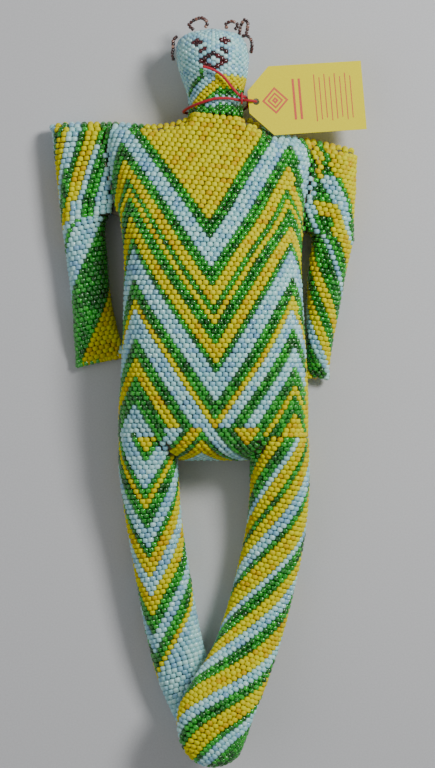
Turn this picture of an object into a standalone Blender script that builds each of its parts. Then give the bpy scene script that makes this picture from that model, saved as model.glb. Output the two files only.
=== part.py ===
"""Beaded cloth doll, lying on its back.

The doll is a stuffed cotton body inside a skin of brick-stitched glass beads. Head, torso, arms
and legs are separate tubes sewn to each other, and each is modelled as three nested pieces:
bead skin, cloth casing and stuffing. A paper swing tag hangs on a red cord round the neck.

Frame: +Z out of the chest, +Y towards the head, +X to the doll's left.
The origin is on the flat patch under the torso's back. Lengths are in millimetres until MM.
"""
import bpy
import bmesh
from math import cos, sin, pi, radians, copysign
from mathutils import Matrix, Vector
from mathutils.geometry import interpolate_bezier

MM = 0.001                 # one millimetre, in Blender's metres

# ---- driving dimensions, in millimetres ----
BEAD = 4.1                 # diameter of a 6/0 seed bead, and so the thickness of the bead skin
CLOTH = 0.8                # cotton casing
GAP = 0.7                  # play between nested pieces
SMALLEST = 2.0             # a nested piece ends where its half width or half height gets this small
# A cross-section's exponent (2 is an ellipse), and how much fuller its underside is before it is
# pressed flat. The head is round so that it can turn in its cord.
LYING = (2.3, 1.12)
ROUND = (2.0, 1.0)
END_BULGE = 0.22           # how far a closed end stands out, as a share of its last half height
TORSO_SIDES = 24
LIMB_SIDES = 16
SHARP_EDGE = 50.0          # degrees; a sharper fold than this is shaded as an edge

HAIR_RADIUS = 1.25
HAIR_SPACING = 1.6         # between the points of a smoothed hair loop
CORD_RADIUS = 0.9
CORD_SPACING = 4.0
KNOT_RADIUS = 3.3          # the knot is a flattened turn round two strands lying side by side
KNOT_THICKNESS = 0.6
KNOT_FLATNESS = 0.7
THREAD_RADIUS = 0.5

TAG_LENGTH = 76.0
TAG_WIDTH = 44.0
TAG_THICKNESS = 0.5
TAG_CORNER = 15.0          # the two cut corners at the hole end
TAG_HOLE_RADIUS = 2.2
TAG_HOLE_SIDES = 12
TAG_HOLE_INSET = 5.0       # hole centre from the tag's end
TAG_HOLE_AT = (27.4, 125.5, 36.4)
TAG_TURN = 5.0             # degrees about +Z
TAG_DROP = 12.0            # degrees that the far end hangs below the hole

# Stations along each stuffed tube, from its open seam end to its closed end:
# centre x, centre y, underside z, half width, height, tilt of the section in the XY plane (degrees).
TORSO = [
    (2.0, 118.0, 7.0, 17.0, 24.0, -2.0),
    (1.0, 115.5, 6.0, 30.0, 25.0, -3.0),
    (-1.0, 112.0, 5.0, 52.0, 24.0, -4.5),
    (-2.5, 107.5, 4.0, 69.0, 22.0, -5.2),
    (-2.8, 99.0, 2.0, 69.5, 32.0, -5.6),
    (-2.4, 80.0, 0.0, 65.0, 46.0, -5.4),
    (-1.5, 54.0, 0.0, 59.5, 57.0, -4.0),
    (-0.2, 25.0, 0.0, 56.5, 63.0, -1.5),
    (0.4, -12.0, 0.0, 57.5, 64.0, 0.0),
    (0.8, -46.0, 0.0, 59.5, 60.0, 0.0),
    (0.4, -68.0, 0.0, 60.0, 54.0, 0.0),
    (0.2, -81.0, 1.0, 54.0, 45.0, 0.0),
    (0.0, -90.0, 3.0, 38.0, 33.0, 0.0),
    (0.0, -98.0, 9.0, 22.0, 17.0, 0.0),
]
HEAD = [
    (1.8, 119.4, 2.7, 18.0, 35.8, 0.0),
    (1.7, 129.0, 2.6, 18.2, 36.0, 0.0),
    (1.3, 135.5, 2.0, 19.5, 37.6, 0.0),
    (0.8, 142.0, 1.0, 21.4, 41.0, 0.0),
    (0.2, 149.0, 0.2, 23.0, 43.8, 0.0),
    (-0.3, 157.0, 0.0, 23.8, 45.0, 0.0),
    (-0.8, 163.5, 0.0, 22.8, 43.4, 0.0),
    (-1.0, 168.0, 2.0, 20.2, 38.4, 0.0),
    (-0.4, 171.0, 7.0, 14.0, 27.0, 0.0),
]
# The doll's right arm lies at -X.
RIGHT_ARM = [
    (-88.6, 112.6, 4.0, 14.2, 12.0, 2.0),
    (-88.0, 108.0, 1.0, 15.2, 18.0, 0.0),
    (-85.6, 86.0, 0.0, 15.6, 20.0, -2.0),
    (-81.4, 62.0, 0.0, 17.0, 20.0, -3.0),
    (-81.6, 46.0, 0.0, 15.6, 20.0, -3.0),
    (-81.2, 28.0, 0.0, 14.2, 20.0, -2.0),
    (-78.4, 0.0, 0.0, 13.1, 19.0, 2.0),
    (-76.2, -20.0, 0.0, 14.2, 16.0, 8.0),
    (-74.4, -34.0, 2.0, 14.6, 9.0, 12.0),
]
# The doll's left arm lies at +X.
LEFT_ARM = [
    (82.4, 97.4, 4.0, 11.6, 12.0, -11.0),
    (82.6, 92.0, 1.0, 12.0, 18.0, -9.0),
    (81.2, 78.0, 0.0, 12.6, 20.0, -5.0),
    (78.6, 60.0, 0.0, 14.4, 20.0, 0.0),
    (76.0, 44.0, 0.0, 15.0, 20.0, 3.0),
    (73.6, 20.0, 0.0, 12.8, 20.0, 5.0),
    (70.6, -8.0, 0.0, 10.4, 20.0, 4.0),
    (68.2, -32.0, 0.0, 8.4, 19.0, 2.0),
    (68.0, -46.0, 2.0, 7.8, 14.0, 0.0),
]
# The doll's right leg is the lower one at the ankles. Both legs start with a round dome about
# the hip, so that they turn clear of the torso.
RIGHT_LEG = [
    (-41.5, -97.0, 7.0, 10.0, 20.0, 0.0),
    (-41.5, -103.0, 1.5, 15.6, 31.0, 0.0),
    (-41.3, -112.0, 0.0, 18.4, 34.0, 0.0),
    (-40.0, -124.0, 0.0, 18.8, 34.0, 2.0),
    (-36.8, -150.0, 0.0, 18.0, 31.0, 5.0),
    (-31.4, -182.0, 0.0, 17.8, 29.0, 8.0),
    (-25.6, -214.0, 0.0, 17.6, 26.0, 12.0),
    (-19.2, -240.0, 0.0, 17.2, 22.5, 18.0),
    (-11.0, -264.0, 0.0, 15.0, 20.5, 24.0),
    (-6.6, -274.0, 2.5, 10.6, 15.0, 26.0),
]
# The doll's left leg rises over the right foot.
LEFT_LEG = [
    (42.6, -97.0, 7.0, 10.0, 20.0, 0.0),
    (42.6, -103.0, 1.5, 15.8, 31.0, 0.0),
    (42.8, -112.0, 0.0, 18.8, 34.0, 0.0),
    (42.6, -124.0, 0.0, 19.6, 34.0, 0.0),
    (40.4, -148.0, 0.0, 19.6, 31.0, -4.0),
    (34.4, -178.0, 0.0, 19.8, 29.0, -12.0),
    (26.4, -208.0, 5.0, 20.0, 27.0, -16.0),
    (17.4, -232.0, 16.0, 20.8, 25.0, -22.0),
    (7.0, -252.0, 25.5, 22.8, 24.0, -28.0),
    (-0.6, -270.0, 28.5, 23.6, 23.0, -26.0),
    (-3.0, -284.0, 29.5, 19.0, 21.0, -18.0),
    (-3.0, -292.0, 32.0, 11.0, 15.0, -10.0),
]

# Where each limb turns: a point on its hinge line. The hinge directions are in the record.
NECK = (1.7, 119.0, 20.6)
RIGHT_SHOULDER = (-70.0, 84.0, 19.0)
LEFT_SHOULDER = (65.4, 76.0, 19.0)
RIGHT_HIP = (-41.5, -113.0, 17.0)
LEFT_HIP = (42.6, -113.0, 17.0)

# The stitching threads that join the arms to the torso, laid in the grooves over the seams.
SEAM_THREADS = {
    "right_shoulder_seam_thread": [(-73.4, 106.0, 20.6), (-63.4, 64.0, 20.6)],
    "left_shoulder_seam_thread": [(68.0, 94.0, 20.6), (60.0, 56.0, 20.6)],
}

# Each hair loop is strung on its own thread, rooted in the crown.
HAIR_LOOPS = {
    "hair_ear_right": [(-23.4, 168.6, 22.0), (-25.2, 166.2, 23.5), (-25.6, 161.6, 24.5),
                       (-25.9, 157.6, 25.0), (-25.4, 154.2, 25.0)],
    "hair_crown_right": [(-13.0, 174.0, 20.0), (-15.2, 177.0, 20.5), (-11.0, 180.0, 22.0),
                         (-6.0, 180.4, 23.0), (-3.6, 177.0, 23.5), (-4.6, 175.2, 23.0)],
    "hair_crown_left": [(8.4, 175.0, 22.0), (8.6, 177.2, 23.0), (12.2, 178.2, 24.0),
                        (16.0, 176.2, 24.5), (14.4, 173.6, 24.0)],
    "hair_tuft_left": [(17.0, 171.2, 20.0), (17.6, 175.6, 20.5), (20.4, 180.0, 21.0),
                       (22.4, 176.6, 21.0), (21.6, 171.6, 20.5)],
    "hair_ear_left": [(19.4, 168.6, 27.0), (22.2, 168.4, 28.5), (24.6, 165.0, 29.5),
                      (24.8, 161.4, 29.0), (24.4, 158.6, 27.0)],
}

# Cord route: from the tag's hole, past the knot, over the front of the neck, round behind it,
# past the knot again and on to the free tip on the cheek.
CORD_ROUTE = [
    (27.4, 125.6, 36.3), (25.2, 125.8, 38.7), (22.6, 126.0, 39.6), (20.4, 126.2, 38.8),
    (18.4, 126.2, 37.6), (15.6, 126.6, 37.4), (9.5, 127.4, 39.0), (1.5, 127.0, 40.4),
    (-6.6, 125.0, 38.6), (-13.6, 122.8, 33.8), (-17.6, 121.4, 27.0), (-18.9, 120.8, 20.0),
    (-17.2, 121.0, 11.6), (-12.0, 121.4, 5.0), (-4.0, 122.0, 1.5), (6.0, 122.6, 1.4),
    (15.0, 123.2, 4.6), (20.4, 123.8, 11.2), (22.4, 125.2, 20.0), (22.0, 127.0, 28.4),
    (20.9, 128.4, 34.2), (19.8, 128.7, 36.8), (18.0, 128.8, 37.8), (15.4, 130.6, 38.8),
    (11.6, 134.8, 40.4), (6.0, 141.2, 43.6), (0.0, 144.8, 45.5), (-6.4, 146.8, 45.9),
]
KNOT_AT = (18.3, 127.5, 37.6)

# Linear base colour, roughness, metallic.
LOOKS = {
    "beads": ((0.78, 0.60, 0.04), 0.18, 0.0),
    "head_beads": ((0.42, 0.66, 0.70), 0.18, 0.0),
    "cloth": ((0.62, 0.58, 0.48), 0.9, 0.0),
    "wadding": ((0.85, 0.84, 0.80), 1.0, 0.0),
    "hair_beads": ((0.16, 0.04, 0.02), 0.25, 0.3),
    "cord": ((0.60, 0.03, 0.06), 0.7, 0.0),
    "card": ((0.86, 0.74, 0.10), 0.6, 0.0),
    "thread": ((0.10, 0.18, 0.10), 0.6, 0.0),
}


def collection(name):
    made = bpy.data.collections.new(name)
    bpy.context.scene.collection.children.link(made)
    return made


def material(name):
    colour, roughness, metallic = LOOKS[name]
    made = bpy.data.materials.new(name)
    made.use_nodes = True
    shader = made.node_tree.nodes["Principled BSDF"]
    shader.inputs["Base Color"].default_value = (*colour, 1.0)
    shader.inputs["Roughness"].default_value = roughness
    shader.inputs["Metallic"].default_value = metallic
    return made


def add_object(name, data, look, pivot=None):
    """Link a mesh or curve, give it its material, and put its origin on its joint's axis."""
    made = bpy.data.objects.new(name, data)
    PARTS.objects.link(made)
    data.materials.append(MATERIALS[look])
    if pivot is not None:
        made.location = Vector(pivot) * MM
    return made


def power(value, exponent):
    return copysign(abs(value) ** exponent, value)


def section(station, sides, form):
    """One ring of a stuffed tube: a superellipse whose underside is pressed flat."""
    x, y, underside, half_width, height, tilt = station
    exponent, fullness = form
    half_height = height / 2
    middle = underside + half_height
    across = Vector((cos(radians(tilt)), sin(radians(tilt)), 0))
    ring = []
    for i in range(sides):
        angle = 2 * pi * (i + 0.5) / sides
        side = half_width * power(cos(angle), 2 / exponent)
        rise = half_height * power(sin(angle), 2 / exponent)
        if rise < 0:
            rise = max(rise * fullness, -half_height)
        ring.append(Vector((x, y, middle + rise)) + across * side)
    return ring


def tip(stations):
    """The middle of the closed end, a little past the last section."""
    x, y, underside, half_width, height, tilt = stations[-1]
    run = Vector((x, y, 0)) - Vector((*stations[-2][:2], 0))
    bulge = min(half_width, height / 2) * END_BULGE
    return Vector((x, y, underside + height / 2)) + run.normalized() * bulge


def inset(stations, depth):
    """The stations of a tube that lies this deep under the surface of the given one."""
    deeper = []
    closing = (*tip(stations)[:2], 0.0, 0.0, 0.0, 0.0)
    for i, (x, y, underside, half_width, height, tilt) in enumerate(stations):
        before = stations[max(i - 1, 0)]
        after = stations[i + 1] if i + 1 < len(stations) else closing
        run = Vector(after[:2]) - Vector(before[:2])
        narrowing = Vector((run.length, before[3] - after[3])).normalized()
        lowering = Vector((run.length, (before[4] - after[4]) / 2)).normalized()
        back = max(narrowing.y, lowering.y, key=abs) * depth
        drop = lowering.x * depth
        place = Vector((x, y)) - run.normalized() * back
        half_width -= narrowing.x * depth
        height -= 2 * drop
        if half_width > SMALLEST and height / 2 > SMALLEST:
            deeper.append((place.x, place.y, underside + drop, half_width, height, tilt))
    return deeper


def loft(rings, centre, cap_start, pivot):
    """Faces through the rings, closed at the end by a fan, and at the start if cap_start."""
    bm = bmesh.new()
    shift = Vector(pivot)
    loops = [[bm.verts.new((p - shift) * MM) for p in ring] for ring in rings]
    sides = len(loops[0])
    for low, high in zip(loops, loops[1:]):
        for i in range(sides):
            j = (i + 1) % sides
            bm.faces.new((low[i], low[j], high[j], high[i]))
    apex = bm.verts.new((centre - shift) * MM)
    for i in range(sides):
        bm.faces.new((loops[-1][i], loops[-1][(i + 1) % sides], apex))
    if cap_start:
        bm.faces.new(list(reversed(loops[0])))
    return bm


def finish_mesh(name, bm):
    bmesh.ops.recalc_face_normals(bm, faces=bm.faces)
    data = bpy.data.meshes.new(name)
    bm.to_mesh(data)
    bm.free()
    data.shade_smooth()
    data.set_sharp_from_angle(angle=radians(SHARP_EDGE))
    return data


def bag(name, stations, sides, form, outside, wall, look, pivot):
    """A shell, open at its first station and closed at its last, as one solid."""
    outer_stations = inset(stations, outside) if outside else stations
    inner_stations = inset(stations, outside + wall)
    outer = [section(s, sides, form) for s in outer_stations]
    inner = [section(s, sides, form) for s in inner_stations]
    bm = loft(outer, tip(outer_stations), False, pivot)
    mouth = list(bm.verts)[:sides]
    shift = Vector(pivot)
    loops = [[bm.verts.new((p - shift) * MM) for p in ring] for ring in inner]
    for low, high in zip(loops, loops[1:]):
        for i in range(sides):
            j = (i + 1) % sides
            bm.faces.new((low[i], high[i], high[j], low[j]))
    apex = bm.verts.new((tip(inner_stations) - shift) * MM)
    for i in range(sides):
        j = (i + 1) % sides
        bm.faces.new((loops[-1][j], loops[-1][i], apex))
        bm.faces.new((mouth[j], mouth[i], loops[0][i], loops[0][j]))
    return add_object(name, finish_mesh(name, bm), look, pivot)


def stuffing(name, stations, sides, form, outside, pivot):
    core = inset(stations, outside)
    bm = loft([section(s, sides, form) for s in core], tip(core), True, pivot)
    return add_object(name, finish_mesh(name, bm), "wadding", pivot)


def stuffed_tube(name, stations, sides, form, beads, pivot):
    """A section of the doll: bead skin, cloth casing and stuffing, nested with play."""
    bag(name + "_bead_skin", stations, sides, form, 0.0, BEAD, beads, pivot)
    bag(name + "_cloth_casing", stations, sides, form, BEAD + GAP, CLOTH, "cloth", pivot)
    stuffing(name + "_stuffing", stations, sides, form, BEAD + CLOTH + 2 * GAP, pivot)


def smooth_route(points, spacing):
    """Points along a smooth curve through the given ones, about one per spacing."""
    route = [Vector(p) for p in points]
    dense = []
    for i in range(len(route) - 1):
        before = route[max(i - 1, 0)]
        after = route[min(i + 2, len(route) - 1)]
        here, there = route[i], route[i + 1]
        steps = max(2, round((there - here).length / spacing) + 1)
        piece = interpolate_bezier(here, here + (there - before) / 6, there - (after - here) / 6,
                                   there, steps)
        dense += piece if i == 0 else piece[1:]
    return dense


def tube(name, points, radius, look, pivot, resolution=2):
    """A cord or thread: a poly curve with a round bevel and filled caps."""
    data = bpy.data.curves.new(name, "CURVE")
    data.dimensions = "3D"
    data.bevel_depth = radius * MM
    data.bevel_resolution = resolution
    data.use_fill_caps = True
    line = data.splines.new("POLY")
    line.points.add(len(points) - 1)
    for spot, point in zip(line.points, points):
        spot.co = (*((Vector(point) - Vector(pivot)) * MM), 1.0)
    return add_object(name, data, look, pivot)


def tag_outline():
    """The card in its own plane: the hole at the origin, the long side along +X."""
    near, far, half = -TAG_HOLE_INSET, TAG_LENGTH - TAG_HOLE_INSET, TAG_WIDTH / 2
    return [(near, -half + TAG_CORNER), (near + TAG_CORNER, -half), (far, -half), (far, half),
            (near + TAG_CORNER, half), (near, half - TAG_CORNER)]


def swing_tag():
    data = bpy.data.curves.new("swing_tag", "CURVE")
    data.dimensions = "2D"
    data.fill_mode = "BOTH"
    data.extrude = TAG_THICKNESS * MM / 2
    turns = [2 * pi * i / TAG_HOLE_SIDES for i in range(TAG_HOLE_SIDES)]
    hole = [(TAG_HOLE_RADIUS * cos(a), -TAG_HOLE_RADIUS * sin(a)) for a in turns]
    for outline in (tag_outline(), hole):
        line = data.splines.new("POLY")
        line.points.add(len(outline) - 1)
        line.use_cyclic_u = True
        for spot, (x, y) in zip(line.points, outline):
            spot.co = (x * MM, y * MM, 0.0, 1.0)
    tag = add_object("swing_tag", data, "card", TAG_HOLE_AT)
    tag.rotation_euler = (0.0, radians(TAG_DROP), radians(TAG_TURN))


def cord_knot():
    """A ring that stands across the two strands, flattened to their height."""
    bpy.ops.mesh.primitive_torus_add(major_radius=KNOT_RADIUS * MM,
                                     minor_radius=KNOT_THICKNESS * MM,
                                     major_segments=16, minor_segments=8)
    knot = bpy.context.object
    knot.name = knot.data.name = "cord_knot"
    knot.data.transform(Matrix.Diagonal((KNOT_FLATNESS, 1.0, 1.0, 1.0)))
    knot.location = Vector(KNOT_AT) * MM
    knot.rotation_euler = (0.0, pi / 2, 0.0)
    knot.data.materials.append(MATERIALS["cord"])
    knot.data.shade_smooth()
    for owner in list(knot.users_collection):
        owner.objects.unlink(knot)
    PARTS.objects.link(knot)


for old in list(bpy.data.objects):
    bpy.data.objects.remove(old, do_unlink=True)

PARTS = collection("beaded_doll")
MATERIALS = {name: material(name) for name in LOOKS}

stuffed_tube("torso", TORSO, TORSO_SIDES, LYING, "beads", (0, 0, 0))
stuffed_tube("head", HEAD, LIMB_SIDES, ROUND, "head_beads", NECK)
stuffed_tube("right_arm", RIGHT_ARM, LIMB_SIDES, LYING, "beads", RIGHT_SHOULDER)
stuffed_tube("left_arm", LEFT_ARM, LIMB_SIDES, LYING, "beads", LEFT_SHOULDER)
stuffed_tube("right_leg", RIGHT_LEG, LIMB_SIDES, LYING, "beads", RIGHT_HIP)
stuffed_tube("left_leg", LEFT_LEG, LIMB_SIDES, LYING, "beads", LEFT_HIP)
for thread_name, ends in SEAM_THREADS.items():
    tube(thread_name, ends, THREAD_RADIUS, "thread", (0, 0, 0), resolution=1)
for loop_name, loop_points in HAIR_LOOPS.items():
    tube(loop_name, smooth_route(loop_points, HAIR_SPACING), HAIR_RADIUS, "hair_beads", NECK)
tube("tag_cord", smooth_route(CORD_ROUTE, CORD_SPACING), CORD_RADIUS, "cord", (0, 0, 0))
cord_knot()
swing_tag()
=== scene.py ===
"""The look of the beaded cloth doll: glass seed beads strung row by row over its stuffed cloth form."""
from math import cos, pi, radians, sin

import bpy
import numpy as np
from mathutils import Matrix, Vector


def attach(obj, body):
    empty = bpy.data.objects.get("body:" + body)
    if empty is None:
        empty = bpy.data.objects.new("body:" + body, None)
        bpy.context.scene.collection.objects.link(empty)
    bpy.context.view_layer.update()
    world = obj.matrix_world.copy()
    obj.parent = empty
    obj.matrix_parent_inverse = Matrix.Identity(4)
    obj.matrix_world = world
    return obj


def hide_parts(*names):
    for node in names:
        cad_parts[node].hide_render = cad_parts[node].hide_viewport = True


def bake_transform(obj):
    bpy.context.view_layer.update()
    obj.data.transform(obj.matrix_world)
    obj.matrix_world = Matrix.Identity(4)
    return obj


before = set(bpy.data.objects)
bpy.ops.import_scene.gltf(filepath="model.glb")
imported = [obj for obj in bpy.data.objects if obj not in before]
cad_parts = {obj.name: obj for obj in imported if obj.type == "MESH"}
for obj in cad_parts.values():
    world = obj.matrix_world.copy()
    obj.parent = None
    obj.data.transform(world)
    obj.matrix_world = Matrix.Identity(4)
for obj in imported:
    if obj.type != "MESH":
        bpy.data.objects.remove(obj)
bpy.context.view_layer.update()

MM = 0.001
SEED = 7

# ---- driving sizes, in millimetres ----
BEAD = 4.1                  # across a bead, and along a row
ROW = 3.05                  # from one row to the next, along the beads' holes
CLOTH_DEPTH = 3.6           # the cloth casing, under the beads' outer surface
LYING = (2.3, 1.12)         # cross-section exponent and fullness of the underside, pressed flat
ROUND = (2.0, 1.0)
STEPS = 720                 # points measured round one row
FINE_STEPS = 900            # points measured along a tube's stations
ARMPIT = 50.0               # where the arms leave the chest
HIP_LINE = -87.5            # where the legs' own rows begin
CROTCH = (22.0, 30.0, -101.5)   # half width of the crotch, where its corners end, and its edge
FOLD = 10.0                 # reach of the shoulder fold's rounding
RIM = 3.0                   # the fold's own rows start this far under the shoulder line
ARM_LEVEL = 22.0            # the arms' thickness where they join the chest
CREASE = 5.0                # softness of the valley between chest and arms
NECK_X, NECK_RADIUS, NECK_LEVEL = 1.9, 17.6, 20.6     # the neck's centre line where it meets the chest
NECK_BASE, NECK_FADE = 117, 0.8     # below this the neck's swelling dies away, this fast
ARM_EDGE = 12.0             # rounding of the arms' outer edges

# the shoulder line in plan, from the right hand side over the neck to the left
SHOULDER_LINE = [(-105, 114.0), (-98, 115.6), (-62, 115.6), (-38, 113.4), (-26, 114.6), (-17, 118),
                 (24, 118), (32, 111.6), (39, 108.4), (68, 104), (93, 98)]

# ---- stuffed forms: centre x, centre y, underside z, half width, height, tilt in degrees ----
TORSO = [
    (-1.2, 50.0, 0.0, 59.4, 58.0, -5.6),
    (-0.2, 25.0, 0.0, 56.8, 63.0, -1.8),
    (0.4, -12.0, 0.0, 57.8, 64.0, 0.0),
    (0.8, -46.0, 0.0, 59.6, 60.0, 0.0),
    (0.4, -68.0, 0.0, 60.8, 55.0, 0.0),
    (0.2, -82.0, 0.0, 61.0, 51.0, 0.0),
    (0.0, -91.0, 0.0, 60.0, 46.5, 0.0),
    (0.0, -97.5, 1.0, 50.0, 39.0, 0.0),
    (0.0, -101.5, 5.0, 32.0, 26.0, 0.0),
    (0.0, -103.4, 12.0, 20.0, 9.0, 0.0),
]
HEAD = [
    (1.9, 117.6, 2.7, 18.0, 35.8, 0.0),
    (1.7, 129.0, 2.6, 18.2, 36.0, 0.0),
    (1.3, 135.5, 2.0, 19.5, 37.6, 0.0),
    (0.8, 142.0, 1.0, 21.4, 41.0, 0.0),
    (0.2, 149.0, 0.2, 23.0, 43.8, 0.0),
    (-0.3, 157.0, 0.0, 23.8, 45.0, 0.0),
    (-0.8, 163.5, 0.0, 22.8, 43.4, 0.0),
    (-1.0, 168.0, 2.0, 20.4, 38.6, 0.0),
    (-0.6, 171.2, 6.5, 15.6, 29.0, 0.0),
    (-0.4, 173.0, 12.5, 8.8, 17.0, 0.0),
    (-0.4, 173.9, 16.6, 4.4, 8.6, 0.0),
    (-0.4, 174.2, 19.6, 1.3, 2.6, 0.0),
]
RIGHT_ARM = [
    (-80.0, 53.3, 0.0, 18.0, 22.0, 10.5),
    (-82.4, 50.3, 0.0, 15.4, 21.6, 10.6),
    (-83.0, 44.0, 0.0, 14.0, 21.0, 10.8),
    (-81.4, 28.0, 0.0, 13.6, 20.0, 11.2),
    (-78.6, 0.0, 0.0, 13.0, 19.0, 11.6),
    (-76.0, -20.0, 0.0, 14.6, 15.0, 12.0),
    (-73.2, -35.0, 2.0, 16.2, 7.0, 12.4),
    (-72.2, -40.0, 3.5, 16.6, 2.4, 12.4),
]
LEFT_ARM = [
    (75.4, 41.1, 0.0, 15.6, 22.0, -11.0),
    (76.6, 38.0, 0.0, 13.8, 21.4, -11.0),
    (76.0, 32.0, 0.0, 12.9, 20.6, -11.0),
    (73.8, 20.0, 0.0, 12.6, 20.0, -11.0),
    (70.6, -8.0, 0.0, 10.6, 20.0, -10.0),
    (68.2, -32.0, 0.0, 8.6, 18.0, -8.0),
    (67.8, -47.0, 3.0, 7.8, 8.0, -6.0),
    (67.8, -50.5, 5.0, 7.8, 2.4, -5.0),
]
RIGHT_LEG = [
    (-41.8, -66.0, 9.0, 11.0, 28.0, 0.0),
    (-41.8, -78.0, 2.5, 17.0, 40.0, 0.0),
    (-41.8, -92.0, 0.0, 19.0, 43.0, 0.0),
    (-41.4, -108.0, 0.0, 19.2, 38.0, 1.0),
    (-40.0, -124.0, 0.0, 18.8, 35.0, 3.0),
    (-36.8, -150.0, 0.0, 18.0, 31.0, 7.0),
    (-31.4, -182.0, 0.0, 17.8, 29.0, 10.0),
    (-25.6, -214.0, 0.0, 17.6, 26.0, 13.0),
    (-19.2, -240.0, 0.0, 17.2, 22.5, 18.0),
    (-11.0, -264.0, 0.0, 15.0, 20.5, 24.0),
    (-7.6, -272.0, 1.5, 11.5, 17.0, 25.0),
    (-6.0, -276.0, 4.6, 6.4, 10.0, 26.0),
    (-5.4, -277.6, 7.6, 1.6, 3.0, 26.0),
]
LEFT_LEG = [
    (42.6, -66.0, 9.0, 11.0, 28.0, 0.0),
    (42.6, -78.0, 2.5, 17.0, 40.0, 0.0),
    (42.8, -92.0, 0.0, 19.2, 43.0, -2.0),
    (42.8, -108.0, 0.0, 19.6, 38.0, -6.0),
    (42.6, -124.0, 0.0, 19.6, 35.0, -10.0),
    (40.4, -148.0, 0.0, 19.6, 31.0, -14.0),
    (34.4, -178.0, 0.0, 19.8, 29.0, -17.0),
    (26.4, -208.0, 5.0, 20.0, 27.0, -19.0),
    (17.4, -232.0, 16.0, 20.8, 25.0, -22.0),
    (7.0, -252.0, 25.5, 22.8, 24.0, -26.0),
    (-0.6, -270.0, 28.5, 23.8, 23.0, -24.0),
    (-2.6, -284.0, 29.5, 20.0, 20.0, -16.0),
    (-2.8, -292.0, 31.5, 13.6, 15.0, -10.0),
    (-2.8, -295.6, 34.4, 7.6, 8.4, -8.0),
    (-2.8, -297.2, 37.4, 1.8, 2.4, -8.0),
]


# ---------------------------------------------------------------- surfaces
def spline(stations, count):
    """Stations interpolated smoothly along a tube, evenly in station number."""
    table = np.array(stations, float)
    last = len(table) - 1
    out = []
    for t in np.linspace(0, last, count):
        i = min(int(t), last - 1)
        f = t - i
        a, b = table[i], table[i + 1]
        before, after = table[max(i - 1, 0)], table[min(i + 2, last)]
        ma, mb = (b - before) / 2, (after - a) / 2
        out.append((2 * f**3 - 3 * f**2 + 1) * a + (f**3 - 2 * f**2 + f) * ma
                   + (3 * f**2 - 2 * f**3) * b + (f**3 - f**2) * mb)
    return np.array(out)


def smoothstep(value):
    value = np.clip(value, 0, 1)
    return value * value * (3 - 2 * value)


def squircle(share, exponent):
    """Height of a superellipse, from 1 at its middle to 0 at its edge."""
    return np.maximum(1 - np.abs(share) ** exponent, 0) ** (1 / exponent)


def ring_points(station, form, angles, depth=0.0):
    """Points of one cross-section. Angle 0 is the front centre line, growing towards +X."""
    x, y, underside, half_width, height, tilt = station
    exponent, fullness = form
    a, b = half_width - depth, height / 2 - depth
    c, s = np.sin(angles), np.cos(angles)
    side = a * np.sign(c) * np.abs(c) ** (2 / exponent)
    rise = b * np.sign(s) * np.abs(s) ** (2 / exponent)
    rise = np.where(rise < 0, np.maximum(rise * fullness, -b), rise)
    lean = radians(tilt)
    return np.stack([x + side * cos(lean), y + side * sin(lean),
                     underside + height / 2 + rise], axis=1)


ANGLES = np.linspace(0, 2 * pi, STEPS, endpoint=False)


class Tube:
    """A stuffed tube. ring(t) gives the outline of a row, with t from 0 to 1 down the tube."""

    def __init__(self, stations, form):
        self.form = form
        self.fine = spline(stations, FINE_STEPS)
        self.others = []

    def station(self, t):
        at = t * (len(self.fine) - 1)
        return np.array([np.interp(at, np.arange(len(self.fine)), self.fine[:, k]) for k in range(6)])

    def ring(self, t, depth=0.0):
        points = ring_points(self.station(t), self.form, ANGLES, depth)
        for other in self.others:
            points[:, 2] = other.lift(points, np.cos(ANGLES), depth)
        return points

    def lift(self, points, facing, depth=0.0):
        """Heights of another tube's points, moved out to this tube's surface where it stands proud."""
        order = np.argsort(self.fine[:, 1])
        ys = self.fine[order, 1]
        columns = self.fine[order].T
        base = points[:, 1]
        for _ in range(3):
            lean = np.tan(np.radians(np.interp(base, ys, columns[5])))
            base = points[:, 1] - (points[:, 0] - np.interp(base, ys, columns[0])) * lean
        x, under, half, height = (np.interp(base, ys, columns[k]) for k in (0, 2, 3, 4))
        share = (points[:, 0] - x) / (half - depth)
        reach = (height / 2 - depth) * squircle(share, self.form[0])
        fits = (np.abs(share) < 1) & (base > ys[0]) & (base < ys[-1])
        middle = under + height / 2
        high = np.where(fits & (facing > 0.05), np.maximum(points[:, 2], middle + reach), points[:, 2])
        low = middle - np.minimum(reach * self.form[1], height / 2 - depth)
        return np.where(fits & (facing < -0.05), np.minimum(high, low), high)


def shoulder_line(x):
    xs, ys = np.array(SHOULDER_LINE, float).T
    spread = np.linspace(-3, 3, 7)
    return np.mean([np.interp(x + offset, xs, ys) for offset in spread], axis=0)


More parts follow.
